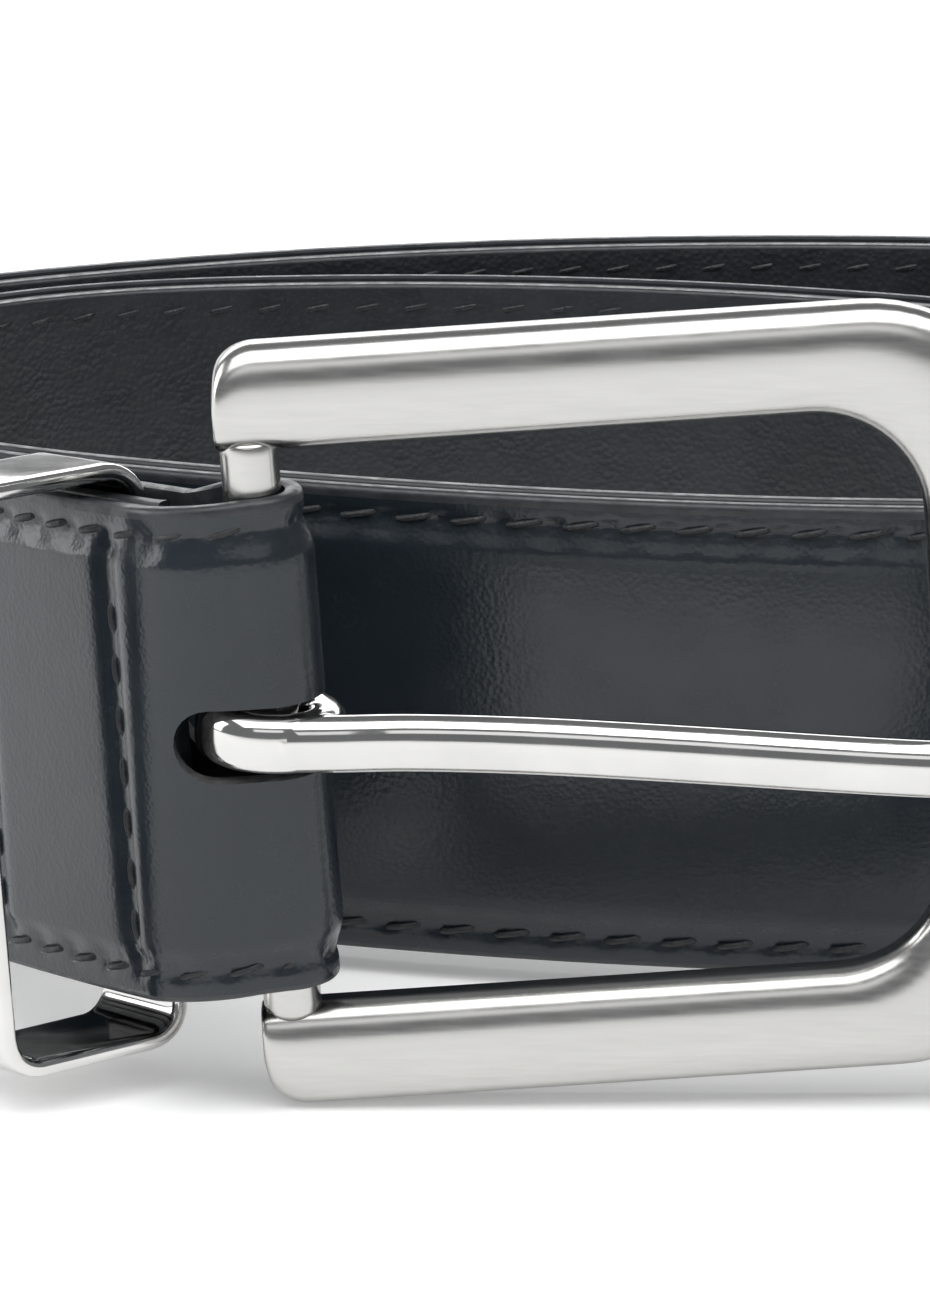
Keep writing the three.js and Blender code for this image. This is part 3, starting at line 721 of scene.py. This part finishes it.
def needle_stitches():
    u, y = edge_path(FLAP_END + 2.0)
    point, _, out, up = LINE.grain(u)
    spots = point + up * y[:, None] + out * (-CROWN_STEP - 0.08)
    return stitch_row("needle_stitches", spots, out)


def bobbin_stitches():
    u, y = edge_path(FLAP_LENGTH + 1.0)
    point, _, out, up = LINE.at(u)
    spots = point + up * y[:, None] - out * (STACK_THICKNESS - 0.05)
    return stitch_row("bobbin_stitches", spots, -out, proud=-0.06)


def cross_stitches(name, row, on_flap):
    """A row straight across the strap, on its face or on the flap."""
    y = np.arange(-(HALF - STITCH_INSET - 1.6), HALF - STITCH_INSET - 1.5, 3.6)
    u = np.full(len(y), float(row))
    if on_flap:
        flap = LINE.flap_rows()
        s = np.arange(FLAP_LENGTH, -0.01, -0.5)
        k = int(np.argmin(np.abs(s - row)))
        point, out, up = flap[0][k], flap[2][k], flap[3][k]
        spots = point + up * y[:, None] + out * -0.42
        outs = np.tile(out, (len(y), 1))
    else:
        point, _, outs, ups = LINE.grain(u)
        spots = point + ups * y[:, None] - outs * 0.46
    return stitch_row(name, spots, outs, slant=0.1)


# ---------- buckle ----------

# Sections along an arm, as shares of its length, close together at its end.
ARM_STATIONS = np.concatenate([np.linspace(0, 0.07, 14), np.linspace(0.1, 1, 12)])


def frame_outline(steps=14):
    """Matching points on the frame's inner and outer outlines, from the lower arm's end to the upper's."""
    half_in = OPENING_HEIGHT / 2
    half_out = half_in + ARM_WIDTH
    left = -ARM_OVERHANG
    right = OPENING_LENGTH + END_WIDTH
    inner, outer = [], []
    for t in ARM_STATIONS:
        inner.append((left + t * (OPENING_LENGTH - INNER_RADIUS - left), -half_in))
        outer.append((left + t * (right - OUTER_RADIUS - left), -half_out))
    for k in range(1, steps + 1):
        a = math.radians(-90 + 90 * k / steps)
        c, s = math.cos(a), math.sin(a)
        inner.append((OPENING_LENGTH - INNER_RADIUS * (1 - c), -half_in + INNER_RADIUS * (1 + s)))
        outer.append((right - OUTER_RADIUS * (1 - c), -half_out + OUTER_RADIUS * (1 + s)))
    for t in np.linspace(0, 1, 14)[1:]:
        inner.append((OPENING_LENGTH, (half_in - INNER_RADIUS) * (2 * t - 1)))
        outer.append((right, (half_out - OUTER_RADIUS) * (2 * t - 1)))
    inner, outer = np.array(inner), np.array(outer)
    mirror = np.array([1, -1])
    arm = slice(0, len(ARM_STATIONS))
    corner = slice(arm.stop, arm.stop + steps)
    inner = np.concatenate([inner, inner[corner][::-1][1:] * mirror, inner[arm][::-1] * mirror])
    outer = np.concatenate([outer, outer[corner][::-1][1:] * mirror, outer[arm][::-1] * mirror])
    return inner, outer


def frame_section(count=44):
    """Crowned section: a from the inner (-1) to the outer (1) outline, b the depth, front negative."""
    section = []
    for k in range(count):
        angle = 2 * math.pi * k / count
        c, s = math.cos(angle), math.sin(angle)
        power = 2 / FRONT_CROWN if s < 0 else 2 / BACK_CROWN
        section.append((math.copysign(abs(c) ** power, c), math.copysign(abs(s) ** power, s)))
    return np.array(section)


def in_buckle(points):
    """From the buckle's own plane, mm about the bar's middle, to metres in the row frame."""
    turn = np.array(Matrix.Rotation(-TILT, 3, "Y"))
    return (points @ turn.T + BAR) * MM


def buckle_frame_piece():
    inner, outer = frame_outline()
    section = frame_section()
    rings = []
    count = len(inner)
    for i in range(count):
        from_end = min(i, count - 1 - i)
        a, b = inner[i], outer[i]
        run = abs(a[0] + ARM_OVERHANG) if from_end < len(ARM_STATIONS) else math.inf
        rise = math.sqrt(1 - max(0.0, 1 - run / ARM_END_BEVEL) ** 2)
        rim = ARM_END_SHARE + (1 - ARM_END_SHARE) * rise
        if run < ARM_END_RADIUS:
            cut = ARM_END_RADIUS - math.sqrt(ARM_END_RADIUS**2 - (ARM_END_RADIUS - run) ** 2)
            b = b + (a - b) * cut / ARM_WIDTH
        middle, reach = (a + b) / 2, (b - a) / 2
        ring = []
        for p, q in section:
            flat = middle + reach * p * rim
            ring.append((flat[0], FRAME_THICKNESS / 2 * q * rim, flat[1]))
        rings.append(ring)
    return skin("buckle_frame_body", in_buckle(np.array(rings)), [SATIN])


def hinge_bar_piece():
    end = OPENING_HEIGHT / 2 + BAR_INTO_ARM
    bevel = [
        (0.01, 0.0), (BAR_RADIUS - BAR_BEVEL, 0.0),
        (BAR_RADIUS - BAR_BEVEL / 4, BAR_BEVEL / 4), (BAR_RADIUS, BAR_BEVEL),
    ]
    profile = [(radius, -end + depth) for radius, depth in bevel]
    profile += [(BAR_RADIUS, z) for z in np.linspace(-end + 1, end - 1, 9)]
    profile += [(radius, end - depth) for radius, depth in reversed(bevel)]
    rings = []
    for radius, z in profile:
        angles = np.linspace(0, 2 * math.pi, 40, endpoint=False)
        rings.append([(radius * math.cos(a), radius * math.sin(a), z) for a in angles])
    return skin("hinge_bar_body", in_buckle(np.array(rings)), [SATIN])


def spline(points, count):
    """A smooth curve through points, by Catmull-Rom."""
    p = np.array(points, float)
    p = np.concatenate([[2 * p[0] - p[1]], p, [2 * p[-1] - p[-2]]])
    out = []
    spans = len(p) - 3
    for t in np.linspace(0, spans, count):
        i = min(int(t), spans - 1)
        f = t - i
        a, b, c, d = p[i:i + 4]
        square = 2 * a - 5 * b + 4 * c - d
        cube = 3 * b - a - 3 * c + d
        out.append(0.5 * (2 * b + (c - a) * f + square * f**2 + cube * f**3))
    return np.array(out)


# The prong's middle line, distance from the bar and depth.
PRONG_SPOTS = [
    (0.5, -3.75), (5.0, -3.0), (10.0, -2.2), (18.0, -2.0), (28.0, -2.7),
    (38.0, -3.7), (44.0, -4.15), (50.0, -4.15), (54.0, -3.9), (56.1, -3.6),
]


def prong_piece():
    """A loop round the bar and a rod over the end bar, joined into one skin."""
    turn = np.array(Matrix.Rotation(math.radians(PRONG_DROOP), 3, "Y"))
    bore = BAR_RADIUS + PRONG_BORE_PLAY
    wall = PRONG_LOOP_WALL
    half = PRONG_HEIGHT / 2
    rings = []
    for angle in np.linspace(0, 2 * math.pi, 56, endpoint=False):
        ring = []
        for c, s in squared_circle(24, 0.7, 0.7):
            r = bore + wall / 2 + wall / 2 * c
            ring.append((r * math.cos(angle), r * math.sin(angle), half * s))
        rings.append(ring)
    loop = skin("prong_body", in_buckle(np.array(rings) @ turn.T), [POLISHED], ring=True)
    line = spline(PRONG_SPOTS, 90)
    tangent = unit(np.gradient(line, axis=0))
    rings = []
    for (x, y), (tx, ty) in zip(line, tangent):
        left = (PRONG_SPOTS[-1][0] - x) / PRONG_POINT
        scale = 1.0 if left >= 1 else math.sqrt(max(0.0, 1 - (1 - left) ** 2)) * 0.8 + 0.08
        ring = []
        for c, s in squared_circle(28, 0.85, 0.85):
            d = PRONG_DEPTH / 2 * scale * c
            ring.append((x + ty * d, y - tx * d, half * scale * s))
        rings.append(ring)
    rod = skin("prong_rod", in_buckle(np.array(rings) @ turn.T), [POLISHED])
    modifier = loop.modifiers.new("join", "BOOLEAN")
    modifier.operation = "UNION"
    modifier.solver = "EXACT"
    modifier.object = rod
    bpy.context.view_layer.update()
    apply_modifiers(loop)
    bpy.data.objects.remove(rod)
    return loop


# ---------- keeper ----------

def rounded_rectangle(x0, x1, y0, y1, radius, steps=8):
    points = []
    for cx, cy, start in ((x1 - radius, y1 - radius, 0), (x0 + radius, y1 - radius, 90),
                          (x0 + radius, y0 + radius, 180), (x1 - radius, y0 + radius, 270)):
        for k in range(steps + 1):
            a = math.radians(start + 90 * k / steps)
            points.append((cx + radius * math.cos(a), cy + radius * math.sin(a)))
    return np.array(points)


def keeper_piece():
    """A flat metal band bent into a rectangular ring, with softened edges."""
    point, along, out, up = [v[0] for v in LINE.at(np.array([KEEPER_START + KEEPER_WIDTH / 2]))]
    back = -(STACK_THICKNESS + KEEPER_PLAY)
    half = HALF + KEEPER_ROOM_Z
    w = KEEPER_WALL
    inner = rounded_rectangle(back, KEEPER_ROOM_FRONT, -half, half, KEEPER_RADIUS - w)
    outer = rounded_rectangle(back - w, KEEPER_ROOM_FRONT + w, -half - w, half + w, KEEPER_RADIUS)
    origin = point - up * KEEPER_SAG
    rings = []
    for a, b in zip(inner, outer):
        ring = []
        for p, q in squared_circle(32, 0.45, 0.16):
            flat = (a + b) / 2 + (b - a) / 2 * p
            ring.append(origin + out * flat[0] + up * flat[1] + along * (KEEPER_WIDTH / 2 * q))
        rings.append(ring)
    return skin("keeper_ring_body", to_row(np.array(rings)), [POLISHED], ring=True)


# ---------- the stage, lights and camera ----------

CAMERA_PLACE = (-51.7, -521.6, 171.3)
CAMERA_DOWN = 16.54
CAMERA_LENS = 197.0


def add_camera():
    data = bpy.data.cameras.new("camera")
    data.lens = CAMERA_LENS
    data.sensor_width = 36.0
    data.dof.use_dof = False
    data.clip_start = 0.01
    camera = bpy.data.objects.new("camera", data)
    bpy.context.scene.collection.objects.link(camera)
    camera.location = Vector(CAMERA_PLACE) * MM
    camera.rotation_euler = (math.radians(90 - CAMERA_DOWN), 0, 0)
    bpy.context.scene.camera = camera


def add_area(name, spot, target, size, power):
    data = bpy.data.lights.new(name, "AREA")
    data.shape = "RECTANGLE"
    data.size, data.size_y = size
    data.energy = power
    light = bpy.data.objects.new(name, data)
    bpy.context.scene.collection.objects.link(light)
    light.location = spot
    aim = Vector(target) - Vector(spot)
    light.rotation_euler = aim.to_track_quat("-Z", "Y").to_euler()


def add_floor():
    m = Nodes("floor_paper")
    m.drive(Base_Color=m.blend(m.noise(8, 2), [(0.3, (0.90, 0.90, 0.90)), (0.7, (0.92, 0.92, 0.92))]))
    m.set(Roughness=0.9, Emission_Strength=0.22)
    m.shader.inputs["Emission Color"].default_value = (1, 1, 1, 1)
    size = 3.0
    corners = [(-size, -size, 0), (size, -size, 0), (size, size, 0), (-size, size, 0)]
    floor = make_object("floor", corners, [(0, 1, 2, 3)], [m.material])


def add_lights():
    add_area("top_box", (-0.05, -0.30, 0.80), (-0.05, -0.02, 0), (1.2, 0.7), 8.5)
    add_area("back_box", (0.0, 1.30, 0.45), (0.0, 0.0, 0.03), (2.0, 0.5), 9)
    add_area("front_box", (-0.10, -1.30, 0.78), (-0.05, 0.0, 0.03), (1.1, 0.35), 1.2)
    add_area("left_box", (-0.85, 0.05, 0.30), (-0.08, -0.04, 0.02), (0.6, 0.5), 3.5)
    world = bpy.data.worlds.new("studio")
    world.use_nodes = True
    world.node_tree.nodes["Background"].inputs["Color"].default_value = (0.95, 0.97, 1, 1)
    world.node_tree.nodes["Background"].inputs["Strength"].default_value = 0.22
    bpy.context.scene.world = world
    bpy.context.scene.view_settings.view_transform = "Standard"


# ---------- assembly ----------

def assign(piece, body, slot, *nodes):
    """Give a piece its body, and hide the CAD nodes that it stands in for; slot is not used."""
    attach(piece, body)
    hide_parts(*nodes)


assign(outer_leather_piece(), "strap", "grain_leather", "outer_leather")
assign(core_piece(), "strap", "core_board", "strap_core")
assign(lining_piece(), "strap", "lining_leather", "lining_leather")
assign(needle_stitches(), "strap", "thread", "needle_thread")
assign(bobbin_stitches(), "strap", "thread", "bobbin_thread")
for label, row in zip(("fold", "flap"), CROSS_ROWS):
    for side, on_flap in (("front", False), ("back", True)):
        stitches = cross_stitches(f"{label}_stitches_{side}", row, on_flap)
        assign(stitches, "strap", "thread", f"{label}_stitch_{side}")
assign(buckle_frame_piece(), "buckle", "satin_steel", "buckle_frame")
assign(hinge_bar_piece(), "buckle", "satin_steel", "hinge_bar")
assign(prong_piece(), "prong", "polished_steel", "prong")
assign(keeper_piece(), "keeper", "polished_steel", "keeper_ring")
add_floor()
add_lights()
add_camera()
